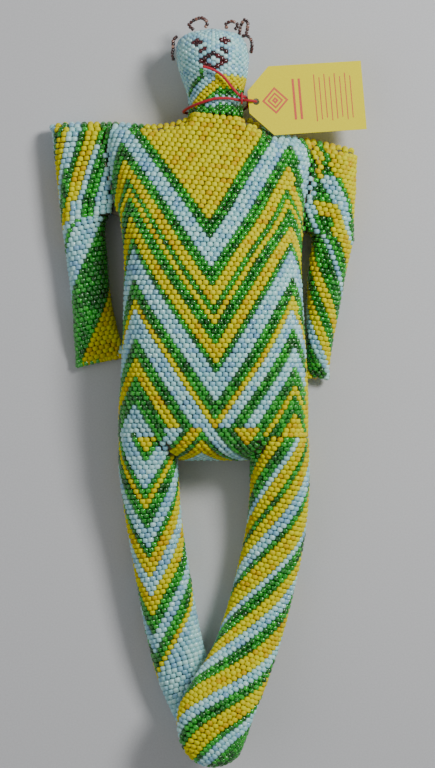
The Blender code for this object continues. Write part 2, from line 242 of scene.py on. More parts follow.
class Chest:
    """The chest and both upper arms, which its rows run out over. t is 0 at the neck, 1 at the armpits."""

    TOP = 118.0

    def edges(self, y):
        """The plan x of the outer edges of the right arm and the left."""
        right = np.interp(y, [54, 70, 112], [-98.4, -100.2, -104.6])
        left = np.interp(y, [54, 70, 96], [91.4, 92.4, 93.4])
        return right, left

    def row_line(self, x, y):
        """How far a row rises or falls sideways: straight over the chest, turning down over the arms."""
        slope = np.tan(radians(-5.6))
        right = np.tan(np.radians(np.interp(y, [54, 80, 92, 104, 112], [10.5, 9, 6, 1, 0])))
        left = np.tan(np.radians(np.interp(y, [54, 112], [-11, -11])))
        middle = np.clip(x, -64, 60) * slope
        return middle + np.minimum(x + 64, 0) * right + np.maximum(x - 60, 0) * left

    def surface(self, x, y, up, depth=0.0):
        """Height of the front (up) or back of the chest and shoulders at a plan point."""
        half = np.interp(y, [54, 80, 112], [59.8, 64, 68])
        share = np.clip((x + 2.2) / half, -1, 1)
        height = np.interp(y, [50, 80, 102, 116], [58, 50, 42, 38])
        floor = np.interp(y, [50, 68], [29, 15])
        hill = floor + (height - floor) * squircle(share, LYING[0])
        hill = np.where(np.abs(share) < 1, hill, 0)
        top = (hill + ARM_LEVEL + np.sqrt((hill - ARM_LEVEL) ** 2 + CREASE ** 2)) / 2
        left, right = self.edges(y)
        outer = np.minimum(x - left, right - x)
        edge = np.sqrt(1 - (1 - np.clip(outer / ARM_EDGE, 0, 1)) ** 2)
        below = shoulder_line(x) - y + 9 * smoothstep((19 - np.abs(x - NECK_X)) / 7)
        fold = np.sqrt(1 - (1 - np.clip(below / FOLD, 0, 1)) ** 2)
        share_left = edge * fold
        middle = ARM_LEVEL / 2
        neck = squircle((x - NECK_X) / 18.0, 2.0) * smoothstep((y - 98) / 16)
        reach = (NECK_RADIUS - depth) * neck
        fade = np.maximum(NECK_BASE - y, 0) * NECK_FADE
        high = middle + (top - depth - middle) * share_left
        high = np.maximum(high, np.where(neck > 0, NECK_LEVEL + reach - fade, 0))
        low = middle - (middle - depth) * share_left
        low = np.minimum(low, np.where(neck > 0, NECK_LEVEL - reach + fade, 99))
        return np.where(up, high, np.maximum(low, depth))

    def ring(self, t, depth=0.0):
        y = self.TOP + (ARMPIT - self.TOP) * t
        left, right = self.edges(y)
        for _ in range(3):
            left = self.edges(y + self.row_line(left, y))[0]
            right = self.edges(y + self.row_line(right, y))[1]
        s = np.sin(ANGLES)
        x = (left + right) / 2 + ((right - left) / 2 - depth) * np.sign(s) * np.abs(s) ** (2 / LYING[0])
        across = y + self.row_line(x, y)
        return np.stack([x, across, self.surface(x, across, np.cos(ANGLES) >= 0, depth)], axis=1)


def row_places(form, pitch):
    """Where the rows of a form lie, in its own t: even steps down its front line."""
    fine = np.linspace(0, 1, 240)
    front = np.array([form.ring(t)[0] for t in fine])
    along = np.concatenate([[0], np.cumsum(np.linalg.norm(np.diff(front, axis=0), axis=1))])
    count = int(round(along[-1] / pitch))
    return np.interp((np.arange(count) + 0.5) * along[-1] / count, along, fine)


# ---------------------------------------------------------------- beads
def bead_template(sides=10):
    """One seed bead along Z, 1 across and 1 long: a rounded barrel with its hole dimpled."""
    profile = [(0.50, 0.20), (0.49, 0.36), (0.33, 0.475), (0.0, 0.5), (-0.33, 0.475),
               (-0.49, 0.36), (-0.50, 0.20)]
    verts = [(r * cos(2 * pi * k / sides), r * sin(2 * pi * k / sides), z)
             for z, r in profile for k in range(sides)]
    faces = []
    for ring in range(len(profile) - 1):
        for k in range(sides):
            j = (k + 1) % sides
            base = ring * sides
            faces.append((base + k, base + sides + k, base + sides + j, base + j))
    top, bottom = len(verts), len(verts) + 1
    verts += [(0, 0, 0.40), (0, 0, -0.40)]
    low = (len(profile) - 1) * sides
    for k in range(sides):
        j = (k + 1) % sides
        faces.append((top, k, j))
        faces.append((bottom, low + j, low + k))
    return np.array(verts), faces


TEMPLATE, TEMPLATE_FACES = bead_template()


def unit(vectors):
    return vectors / np.maximum(np.linalg.norm(vectors, axis=-1, keepdims=True), 1e-9)


class Beads:
    """Many beads: centres, hole directions, outward normals, sizes, rows, half-bead columns and colours."""

    FIELDS = ("centres", "axes", "normals", "sizes", "rows", "halves", "colours")

    def __init__(self, centres, axes, normals, sizes, rows, halves, colours=None):
        self.centres, self.axes, self.normals = centres, axes, normals
        self.sizes, self.rows, self.halves = sizes, rows, halves
        self.colours = np.full(len(centres), "", dtype="<U8") if colours is None else colours

    def pick(self, mask):
        return Beads(*(getattr(self, name)[mask] for name in self.FIELDS))


def joined(parts):
    return Beads(*(np.concatenate([getattr(part, name) for part in parts]) for name in Beads.FIELDS))


def bead_mesh(name, beads, rng):
    """One mesh of many beads, each a little different in size, lay and tint."""
    count, per = len(beads.centres), len(TEMPLATE)
    wobble = 0.035 * rng.standard_normal((count, 3))
    axes = unit(beads.axes + wobble)
    normals = unit(beads.normals - axes * np.sum(beads.normals * axes, axis=1, keepdims=True))
    side = np.cross(normals, axes)
    sizes = beads.sizes * (1 + 0.03 * np.clip(rng.standard_normal((count, 2)), -2, 2))
    centres = beads.centres + 0.10 * np.clip(rng.standard_normal((count, 3)), -2, 2)
    corners = TEMPLATE[None, :, 0, None] * side[:, None, :] * sizes[:, None, None, 0]
    corners = corners + TEMPLATE[None, :, 1, None] * normals[:, None, :] * sizes[:, None, None, 0]
    corners = corners + TEMPLATE[None, :, 2, None] * axes[:, None, :] * sizes[:, None, None, 1]
    verts = (corners + centres[:, None, :]).reshape(-1, 3)
    verts[:, 2] = np.maximum(verts[:, 2], 0.0)
    loops = np.concatenate([np.array(f) for f in TEMPLATE_FACES])
    totals = np.array([len(f) for f in TEMPLATE_FACES])
    starts = np.concatenate([[0], np.cumsum(totals)[:-1]])
    offsets = np.arange(count)[:, None]
    mesh = bpy.data.meshes.new(name)
    mesh.vertices.add(count * per)
    mesh.vertices.foreach_set("co", (verts * MM).astype(np.float32).ravel())
    mesh.loops.add(count * len(loops))
    mesh.loops.foreach_set("vertex_index", (loops[None, :] + offsets * per).ravel().astype(np.int32))
    mesh.polygons.add(count * len(totals))
    mesh.polygons.foreach_set("loop_start", (starts[None, :] + offsets * len(loops)).ravel().astype(np.int32))
    mesh.update(calc_edges=True)
    mesh.shade_smooth()
    tint = mesh.attributes.new("tint", "FLOAT", "POINT")
    tint.data.foreach_set("value", np.repeat(rng.random(count), per).astype(np.float32))
    return add_object(name, mesh)


def add_object(name, data):
    made = bpy.data.objects.new(name, data)
    bpy.context.scene.collection.objects.link(made)
    return made


def row_grid(form, places, depth=0.0):
    return np.stack([form.ring(t, depth) for t in places])


def lay_rows(grid, first_row=0, centre_x=None, turned=False, columns=None):
    """Beads over a grid of rings, brick fashion, their columns counted in halves from the front line.

    Turned beads lie with their holes along the row, in upright columns, as in peyote stitch.
    """
    across = 2 * ROW if turned else BEAD
    steps = grid.shape[1]
    closed = np.concatenate([grid, grid[:, :1]], axis=1)
    lengths = np.linalg.norm(np.diff(closed, axis=1), axis=2)
    around = np.concatenate([np.zeros((len(grid), 1)), np.cumsum(lengths, axis=1)], axis=1)
    down = np.gradient(grid, axis=0)
    along = (np.roll(grid, -1, axis=1) - np.roll(grid, 1, axis=1)) / 2
    normal = unit(np.cross(along, down))
    if normal[len(grid) // 2, 0, 2] < 0:
        normal = -normal
    quarter = steps // 4
    front = np.arange(-quarter, quarter + 1)
    parts = []
    for row in range(len(grid)):
        total = around[row, -1]
        count = columns(total) if columns else max(4, int(round(total / across)))
        spacing = total / count
        start = 0.0
        if centre_x:
            xs = grid[row, front % steps, 0]
            reach = np.concatenate([around[row, front[:quarter] % steps] - total,
                                    around[row, front[quarter:]]])
            start = np.interp(centre_x(grid[row, 0, 1]), xs, reach)
        half = (first_row + row) % 2
        halves = 2 * np.arange(-(count // 2), count - count // 2) + half
        index = np.interp((start + halves * spacing / 2) % total, around[row], np.arange(steps + 1))
        low = np.floor(index).astype(int) % steps
        high = (low + 1) % steps
        share = (index - np.floor(index))[:, None]
        spot = grid[row, low] * (1 - share) + grid[row, high] * share
        up = unit(normal[row, low] * (1 - share) + normal[row, high] * share)
        hole = down if not turned else along
        lengthwise = unit(hole[row, low] * (1 - share) + hole[row, high] * share)
        lengthwise = unit(lengthwise - up * np.sum(lengthwise * up, axis=1, keepdims=True))
        sizes = np.tile([BEAD, min(ROW, spacing / 2 * 1.02) if turned else ROW], (count, 1))
        parts.append(Beads(spot - up * BEAD / 2, lengthwise, up, sizes,
                           np.full(count, first_row + row), halves))
    return joined(parts)


# ---------------------------------------------------------------- camera and light
def camera():
    data = bpy.data.cameras.new("camera")
    data.lens = 115.4
    made = add_object("camera", data)
    made.location = (0.0029, -0.0538, 1.6)
    bpy.context.scene.camera = made


def light(name, place, size, power, target=(0, -0.05, 0.02)):
    data = bpy.data.lights.new(name, "AREA")
    data.size = size
    data.energy = power
    made = add_object(name, data)
    made.location = place
    made.rotation_euler = (Vector(target) - Vector(place)).to_track_quat("-Z", "Y").to_euler()


def studio():
    bpy.ops.mesh.primitive_plane_add(size=6, location=(0, 0, -0.0004))
    floor = bpy.context.object
    floor.name = "floor"
    material, shader, nodes, links = new_material("floor", Roughness=0.85)
    speckle(nodes, links, shader, (0.60, 0.60, 0.605), (0.64, 0.64, 0.645), scale=900)
    floor.data.materials.append(material)
    light("key", (0.75, 0.55, 0.95), 0.35, 16)
    light("fill", (-0.9, -0.2, 0.9), 1.0, 2.2)
    world = bpy.data.worlds.new("world")
    world.use_nodes = True
    world.node_tree.nodes["Background"].inputs["Color"].default_value = (0.93, 0.95, 1, 1)
    world.node_tree.nodes["Background"].inputs["Strength"].default_value = 0.25
    bpy.context.scene.world = world


# ---------------------------------------------------------------- materials
def new_material(name, **values):
    material = bpy.data.materials.new(name)
    material.use_nodes = True
    nodes, links = material.node_tree.nodes, material.node_tree.links
    shader = nodes["Principled BSDF"]
    for key, value in values.items():
        shader.inputs[key.replace("_", " ")].default_value = value
    return material, shader, nodes, links


def ramp_between(nodes, links, shader, value, *colours):
    ramp = nodes.new("ShaderNodeValToRGB")
    steps = ramp.color_ramp.elements
    while len(steps) < len(colours):
        steps.new(0.5)
    for k, (place, colour) in enumerate(colours):
        steps[k].position = place
        steps[k].color = (*colour, 1)
    links.new(value, ramp.inputs["Fac"])
    links.new(ramp.outputs["Color"], shader.inputs["Base Color"])


def noise(nodes, links, scale, detail=2.0):
    place = nodes.new("ShaderNodeTexCoord")
    made = nodes.new("ShaderNodeTexNoise")
    made.inputs["Scale"].default_value = scale
    made.inputs["Detail"].default_value = detail
    links.new(place.outputs["Object"], made.inputs["Vector"])
    return made


def speckle(nodes, links, shader, dark, light_colour, scale, bump=0.0):
    """A colour that wanders between two, with a fine bump of the same grain."""
    grain = noise(nodes, links, scale)
    ramp_between(nodes, links, shader, grain.outputs["Fac"], (0.35, dark), (0.65, light_colour))
    if bump:
        relief = nodes.new("ShaderNodeBump")
        relief.inputs["Strength"].default_value = bump
        relief.inputs["Distance"].default_value = 0.2 * MM
        links.new(grain.outputs["Fac"], relief.inputs["Height"])
        links.new(relief.outputs["Normal"], shader.inputs["Normal"])


def glass_bead(name, *colours, roughness=0.2, coat=0.5, specular=0.5, painted_glint=None):
    """Glass beads: each has its own tint, clouded a little within, under a clear glossy skin; where asked
    for, bright specks of painted glint are added to the colour.
    """
    material, shader, nodes, links = new_material(name, Roughness=roughness, Coat_Weight=coat,
                                                  Coat_Roughness=0.05, Specular_IOR_Level=specular)
    own = nodes.new("ShaderNodeAttribute")
    own.attribute_name = "tint"
    cloud = noise(nodes, links, 700, detail=3.0)
    mixed = nodes.new("ShaderNodeMath")
    mixed.operation = "MULTIPLY_ADD"
    mixed.inputs[1].default_value = 0.7
    links.new(cloud.outputs["Fac"], mixed.inputs[0])
    links.new(own.outputs["Fac"], mixed.inputs[2])
    shifted = nodes.new("ShaderNodeMath")
    shifted.operation = "SUBTRACT"
    shifted.inputs[1].default_value = 0.35
    links.new(mixed.outputs[0], shifted.inputs[0])
    ramp_between(nodes, links, shader, shifted.outputs[0], *colours)
    # painted glints: bright specks of noise added to the base colour
    if painted_glint:
        fine = noise(nodes, links, 1600, detail=1.0)
        glint_ramp = nodes.new("ShaderNodeValToRGB")
        low, high = glint_ramp.color_ramp.elements
        low.position, low.color = 0.60, (0, 0, 0, 1)
        high.position, high.color = 0.68, (*painted_glint, 1)
        links.new(fine.outputs["Fac"], glint_ramp.inputs["Fac"])
        add = nodes.new("ShaderNodeMix")
        add.data_type = "RGBA"
        add.blend_type = "ADD"
        add.inputs["Factor"].default_value = 1.0
        base = shader.inputs["Base Color"].links[0].from_socket
        links.new(base, add.inputs["A"])
        links.new(glint_ramp.outputs["Color"], add.inputs["B"])
        links.new(add.outputs["Result"], shader.inputs["Base Color"])
    return material


def woven(name, dark, light_colour, pitch=0.45, roughness=0.9):
    """Plain woven cotton: crossed waves for the yarns, worn lighter on top."""
    material, shader, nodes, links = new_material(name, Roughness=roughness)
    place = nodes.new("ShaderNodeTexCoord")
    waves = []
    for axis in ("X", "Y"):
        wave = nodes.new("ShaderNodeTexWave")
        wave.bands_direction = axis
        wave.inputs["Scale"].default_value = pi / (20 * pitch * MM)
        wave.inputs["Distortion"].default_value = 0.6
        links.new(place.outputs["Object"], wave.inputs["Vector"])
        waves.append(wave)
    crossed = nodes.new("ShaderNodeMath")
    crossed.operation = "MULTIPLY"
    links.new(waves[0].outputs["Fac"], crossed.inputs[0])
    links.new(waves[1].outputs["Fac"], crossed.inputs[1])
    ramp_between(nodes, links, shader, crossed.outputs[0], (0.1, dark), (0.8, light_colour))
    relief = nodes.new("ShaderNodeBump")
    relief.inputs["Strength"].default_value = 0.4
    relief.inputs["Distance"].default_value = 0.1 * MM
    links.new(crossed.outputs[0], relief.inputs["Height"])
    links.new(relief.outputs["Normal"], shader.inputs["Normal"])
    return material


def fibrous(name, dark, light_colour, scale=1500, roughness=0.7, **values):
    material, shader, nodes, links = new_material(name, Roughness=roughness, **values)
    speckle(nodes, links, shader, dark, light_colour, scale, bump=0.5)
    return material


YELLOW, GREEN, BLUE, GARNET = "yellow", "green", "blue", "garnet"
GLASS = {
    YELLOW: glass_bead("yellow_glass", (0.0, (0.62, 0.40, 0.0)), (0.2, (0.70, 0.60, 0.0)),
                       (0.9, (0.74, 0.70, 0.0)), roughness=0.5, coat=0.02, specular=0.2),
    # the green beads carry painted glints, bright specks in their colour
    GREEN: glass_bead("green_glass", (0.0, (0.001, 0.06, 0.003)), (0.5, (0.010, 0.24, 0.010)),
                      (1.0, (0.03, 0.42, 0.02)), roughness=0.14, coat=0.7, painted_glint=(0.12, 0.42, 0.10)),
    BLUE: glass_bead("blue_glass", (0.0, (0.24, 0.48, 0.66)), (0.4, (0.36, 0.72, 0.74)),
                     (1.0, (0.56, 0.88, 0.85)), roughness=0.32, coat=0.3),
    GARNET: glass_bead("garnet_glass", (0.0, (0.012, 0.001, 0.002)), (1.0, (0.11, 0.006, 0.008)),
                       roughness=0.12, coat=1.0),
}
# dark copper-lined hair beads; the pale top of the ramp, which some beads reach by their tint, is painted
# glints
COPPER_PAINTED_GLINTS = glass_bead("copper_glass_painted_glints", (0.0, (0.03, 0.008, 0.006)), (0.8, (0.10, 0.02, 0.012)),
                    (1.0, (0.55, 0.30, 0.22)), roughness=0.1, coat=1.0)
# dark brown casing cloth: painted shade, so the gaps between the beads read dark where shade falls
CLOTH_PAINTED_SHADE = woven("casing_cloth_painted_shade", (0.10, 0.085, 0.05), (0.20, 0.17, 0.10))
WADDING = fibrous("wadding", (0.62, 0.60, 0.55), (0.80, 0.78, 0.74), scale=600, roughness=1.0)
THREAD = fibrous("sewing_thread", (0.45, 0.40, 0.25), (0.70, 0.62, 0.40), scale=4000)
CORD_YARN = fibrous("cord_yarn", (0.36, 0.0, 0.012), (0.60, 0.004, 0.03), scale=2500, roughness=0.6,
                    Sheen_Weight=0.1)
CARD = fibrous("card", (0.82, 0.70, 0.0), (0.86, 0.75, 0.0), scale=1200, roughness=0.6,
               Specular_IOR_Level=0.2)
PRINT = fibrous("print_ink", (0.62, 0.05, 0.01), (0.70, 0.08, 0.015), scale=3000, roughness=0.5)

# ---------------------------------------------------------------- patterns
Y, G, B = YELLOW, GREEN, BLUE


def stripe(stripes, phase, start=0.0):
    """The colour at a phase, from a list of (colour, width) that begins at start."""
    edges = start + np.cumsum([width for _, width in stripes])
    names = np.array([colour for colour, _ in stripes] + [stripes[-1][0]])
    return names[np.minimum(np.searchsorted(edges, phase, side="right"), len(stripes))]


PEAK = 26                   # half-beads from the centre line out to the side peaks
LEFT_PEAK = ([8, 15, 38, 44], [28.5, 27, 27, 26])     # the left side's lie further out higher up
SHARED = [(Y, 60), (G, 4), (B, 6), (G, 4), (Y, 4), (G, 2), (Y, 2), (G, 4), (Y, 4), (G, 2),
          (B, 6), (G, 4), (Y, 3)]       # down the front, from 60 above the chest's point
RIGHT_SIDE = SHARED + [(B, 5.6), (G, 4.4), (Y, 4), (G, 5.2), (B, 5.4), (G, 2), (Y, 4), (B, 9)]
LEFT_SIDE = SHARED + [(B, 4), (G, 3), (B, 4.5), (G, 3), (Y, 3.5), (G, 2.5), (Y, 6.5), (G, 9)]
RIGHT_ARM_STRIPES = [(B, 13), (Y, 1.4), (G, 2.1), (Y, 3.5), (B, 3), (G, 2.7), (Y, 3.9), (B, 2.8),
                     (G, 3.6), (B, 8.7), (G, 17.3), (Y, 11.3), (B, 4), (Y, 9)]
LEFT_ARM_STRIPES = [(Y, 22), (G, 2.4), (B, 3.3), (Y, 4.5), (G, 4.2), (B, 3.5), (G, 4.4), (Y, 5.4),
                    (G, 3.7), (Y, 2.6), (G, 1), (B, 4.5), (G, 5), (Y, 9)]
LEFT_SHOULDER_STRIPES = [(Y, 23.4), (G, 60)]                # in the rows above SHOULDER_ROW
LEFT_UPPER_STRIPES = [(Y, 22), (G, 2.4), (B, 5), (G, 60)]   # and from there to UPPER_ROW
SHOULDER_ROW, UPPER_ROW = 10, 16
LEAN = ([0, 23], [2, 0])    # how many half-beads the arms' stripes lean at a row
BEFORE = 60                 # phases above the chest's point
ARMS_START = -30            # the phase at which the arms' stripes begin
RIGHT_LEG_STRIPES = [(Y, 3.3), (G, 2.4), (B, 6), (G, 1.6), (Y, 2.3), (G, 3.4), (B, 3.1), (G, 3.3),
                     (Y, 4), (B, 2.9), (Y, 4.2), (G, 4.3), (B, 4.5), (G, 3), (Y, 3.2), (B, 60)]
LEFT_LEG_STRIPES = [(G, 28), (Y, 3.9), (G, 2.3), (B, 3.2), (Y, 3.4), (G, 2.9), (Y, 3.7), (B, 3.3),
                    (G, 3.2), (Y, 4.4), (B, 3.5), (G, 3.2), (Y, 4.9), (B, 3.2), (G, 4), (Y, 5.3),
                    (B, 4.9), (G, 4), (Y, 4.8), (G, 3.5), (B, 3.4), (G, 20)]
LEG_START = -30             # the phase at which the left leg's stripes begin
GUSSET_ROW, GUSSET_COLUMN = 67, -4      # the point of the small roof between the legs
LEFT_POINT_COLUMN = 10                  # the small yellow point beside it


def gusset_colours(colours, beads):
    """The strips between the legs: a roof of three colours, with bands falling away on both sides."""
    down = beads.rows - GUSSET_ROW
    aside = beads.halves - GUSSET_COLUMN
    inside = down - np.abs(aside)
    out = np.where(inside >= 6, B, np.where(inside >= 2.5, Y, G)).astype("<U8")
    past = np.abs(aside) - down
    right = np.where(past < 4.5, Y, np.where(past < 6.5, G, B))
    left = np.where(past < 5, B, G)
    point = down + np.abs(beads.halves - LEFT_POINT_COLUMN)
    left = np.where((point <= 4) & (past > 8), Y, left)
    out = np.where(inside >= 0, out, np.where(aside < 0, right, left))
    here = (down >= 0) & (np.abs(beads.halves) <= 15) & (beads.normals[:, 2] > 0)
    return np.where(here, out, colours)


def chest_colours(beads, apex):
    """Chevrons over the chest and belly, which fall away again past the side peaks and down the arms."""
    reach, left = np.abs(beads.halves), beads.halves > 0
    peak = np.where(left, np.interp(beads.rows, *LEFT_PEAK), PEAK)
    phase = beads.rows - apex + np.where(reach > peak, 2 * peak - reach, reach)
    colours = np.where(left, stripe(LEFT_SIDE, phase, -BEFORE), stripe(RIGHT_SIDE, phase, -BEFORE))
    colours = np.where(left & (reach > peak) & (beads.rows < 11) & (phase < 2), Y, colours)
    x, y = beads.centres[:, 0], beads.centres[:, 1]
    phase = beads.rows - apex + 1 + 2 * PEAK - reach
    phase = phase + np.where(left, 1, -1) * np.interp(beads.rows, *LEAN)
    over_right = (x < np.interp(y, *SEAMS["right"])) & ((beads.rows > 7) | (phase < -0.4))
    over_left = x > np.interp(y, *SEAMS["left"])
    colours = np.where(over_right, stripe(RIGHT_ARM_STRIPES, phase, ARMS_START), colours)
    high = np.where(beads.rows < UPPER_ROW, stripe(LEFT_UPPER_STRIPES, phase, ARMS_START),
                    stripe(LEFT_ARM_STRIPES, phase, ARMS_START))
    high = np.where(beads.rows < SHOULDER_ROW, stripe(LEFT_SHOULDER_STRIPES, phase, ARMS_START), high)
    patch = (beads.rows >= UPPER_ROW) & (beads.rows < 19) & (phase > 2) & (phase < 5.6)
    colours = np.where(over_left, np.where(patch, Y, high), colours)
    return gusset_colours(colours, beads)


def face(column, row):
    """Whether a head bead belongs to the eyes, the marks under them or the mouth. Row 0 is the mouth's."""
    mouth = np.abs(column) + np.abs(row) == 3
    eyes = (np.abs(column + 4) + np.abs(row - 8) == 1) | (np.abs(column - 3) + np.abs(row - 9) == 1)
    marks = ((row == 5) & (np.abs(column) == 2)) | ((row == 4) & (np.abs(column) == 3))
    return mouth | eyes | marks


HEAD_BEAD = 3.25            # the beads of the head stand closer in their columns
HEAD_COLUMNS = 25
MOUTH_Y = 151.8
NECK_BANDS = [(G, 59.8), (B, 62.3), (G, 64.5), (Y, 68.3), (B, 72.0), (G, 73.6)]     # colour, upper edge


def head_colours(beads):
    y = beads.centres[:, 1]
    upright = y / (BEAD / 2)
    level = upright - np.minimum(beads.halves, 1)
    colours = np.full(len(y), B, dtype="<U8")
    for colour, edge in reversed(NECK_BANDS):
        colours[level < edge] = colour
    colours[(level > NECK_BANDS[-2][1]) & (beads.halves > -3)] = B
    colours[y < 122.4] = G
    front = beads.normals[:, 2] > 0
    odd = front & (beads.rows % 2 == 1) & (np.abs(beads.halves) < 3)
    mouth_row = beads.rows[odd][np.argmin(np.abs(y[odd] - MOUTH_Y))]
    colours[front & face(beads.halves, beads.rows - mouth_row)] = GARNET
    return colours


# ---------------------------------------------------------------- the doll
# where each form's front centre column lies, as plan y and plan x
CENTRE_COLUMN = ([-100, -36, 54, 80, 112], [1.0, 1.9, -3.0, -6.2, -10.0])
RIGHT_LEG_COLUMN = ([-250, -120, -88], [-36.5, -43.6, -42.0])
HEAD_COLUMN = ([0], [0.2])
# the seams between the chest's pattern and the arms', as plan y and plan x
SEAMS = {"right": ([50, 72, 87, 103, 112], [-62, -64.5, -69, -73.2, -73.6]),
         "left": ([48, 61, 77, 90, 101, 108], [57.6, 64, 68.5, 70.7, 67, 60])}
SHOULDERS = {"right": ((-70.0, 84.0), (0.995, 0.1)), "left": ((65.4, 76.0), (-0.991, 0.13))}
SHOULDER_REACH, SHOULDER_LEVEL = 12.0, 19       # how far a shoulder's bend reaches each way, and its height
HIPS = {"right": -41.8, "left": 42.6}
HIP_BEND, HIP_LEVEL = (-86, -120), 17           # where a hip's bend starts and ends, and its height
NECK_GAP = (2.5, 17.0)      # middle and half width of the neck's opening in the shoulder seam


def hip_line(x):
    """Where the belly's beads give way to the legs': level outside, dropping to the crotch between them."""
    inner, outer, crotch = CROTCH
    return np.interp(np.abs(x), [inner, outer], [crotch - 4, HIP_LINE])


def rim_beads(chest):
    """Columns of beads up the wall of the shoulder fold, from its front face round to its back."""
    turn = np.arccos(1 - RIM / FOLD)
    middle = ARM_LEVEL / 2
    parts = []
    for k, x in enumerate(np.arange(-103.5, 92, BEAD)):
        if abs(x - NECK_GAP[0]) < NECK_GAP[1]:
            continue
        line = shoulder_line(np.array([x]))[0]
        front = chest.surface(np.array([x]), np.array([line - FOLD]), np.ones(1, bool))[0]
        taper = np.sqrt(1 - (1 - np.clip(min(x + 104.6, 93.4 - x) / ARM_EDGE, 0, 1)) ** 2)
        high, low = (front - middle) * sin(turn) * taper, -middle * sin(turn) * taper
        count = max(2, int(round((high - low) / ROW)) + 1)
        zs = np.linspace(high, low, count) + (k % 2) * (low - high) / (count - 1) / 2
        zs = zs[zs > low - 0.1]
        lean = np.arcsin(np.clip(np.where(zs > 0, zs / (front - middle), zs / middle), -1, 1))
        normals = np.stack([0 * lean, np.cos(lean), np.sin(lean)], axis=1)
        axes = np.stack([0 * lean, np.sin(lean), -np.cos(lean)], axis=1)
        outer = np.stack([0 * lean + x, line - FOLD * (1 - np.cos(lean)), middle + zs], axis=1)
        parts.append(Beads(outer - normals * BEAD / 2, axes, normals, np.tile([BEAD, ROW], (len(zs), 1)),
                           *np.zeros((2, len(zs)), int)))
    return joined(parts)


def copy_colours(beads, others):
    """Each bead takes the colour of the nearest of the others."""
    for k, spot in enumerate(beads.centres):
        beads.colours[k] = others.colours[np.argmin(np.sum((others.centres - spot) ** 2, axis=1))]


def add_beads(label, beads, body, replaces, rng, blended=None):
    for colour in sorted(set(beads.colours)):
        piece = bead_mesh(f"{label}_{colour}_beads", beads.pick(beads.colours == colour), rng)
        piece.data.materials.append(GLASS[colour])
        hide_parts(replaces)
        if blended:
            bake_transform(piece)
        else:
            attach(piece, body)


def shoulder_blend(side):
    (x, y), (away_x, away_y) = SHOULDERS[side]
    reach = SHOULDER_REACH
    return [Vector((x + away_x * r, y + away_y * r, SHOULDER_LEVEL)) * MM for r in (reach, -reach)]


def hip_blend(side):
    return [Vector((HIPS[side], y, HIP_LEVEL)) * MM for y in HIP_BEND]


def resampled(polygon, count=72):
    """A closed outline with evenly spaced points, from the top of its middle."""
    middle = (polygon[:, 0].min() + polygon[:, 0].max()) / 2
    upper = polygon[:, 2] > np.median(polygon[:, 2])
    start = np.argmin(np.where(upper, np.abs(polygon[:, 0] - middle), 1e9))
    polygon = np.roll(polygon, -start, axis=0)
    closed = np.concatenate([polygon, polygon[:1]])
    along = np.concatenate([[0], np.cumsum(np.linalg.norm(np.diff(closed, axis=0), axis=1))])
    at = np.linspace(0, along[-1], count, endpoint=False)
    return np.stack([np.interp(at, along, closed[:, k]) for k in range(3)], axis=1)


def add_casing(label, outlines, body, blended=None):
    """The stuffed cloth bag under the beads, lofted through its outlines and closed at both ends."""
    rings = [resampled(outline) for outline in outlines]
    count = len(rings[0])
    verts = [tuple(p * MM) for ring in rings for p in ring]
    faces = []
    for k in range(len(rings) - 1):
        for j in range(count):
            n = (j + 1) % count
            faces.append((k * count + j, k * count + n, (k + 1) * count + n, (k + 1) * count + j))
    faces.append(tuple(reversed(range(count))))
    faces.append(tuple(range((len(rings) - 1) * count, len(rings) * count)))
    mesh = bpy.data.meshes.new(label + "_casing")
    mesh.from_pydata(verts, [], faces)
    mesh.update()
    mesh.shade_smooth()
    piece = add_object(label + "_casing", mesh)
    # the casing's dark cloth colour is painted shade in the gaps between the beads
    mesh.materials.append(CLOTH_PAINTED_SHADE)
    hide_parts(label + "_cloth_casing")
    if blended:
        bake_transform(piece)
    else:
        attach(piece, body)


def column(places):
    """The plan x of a front centre column at any plan y."""
    return lambda y: np.interp(y, *places)


def head_columns(girth):
    """How many columns of beads fit round the head, fewer as it closes over the crown."""
    if girth > 95:
        return HEAD_COLUMNS
    return HEAD_COLUMNS // 2 if girth > 50 else HEAD_COLUMNS // 4


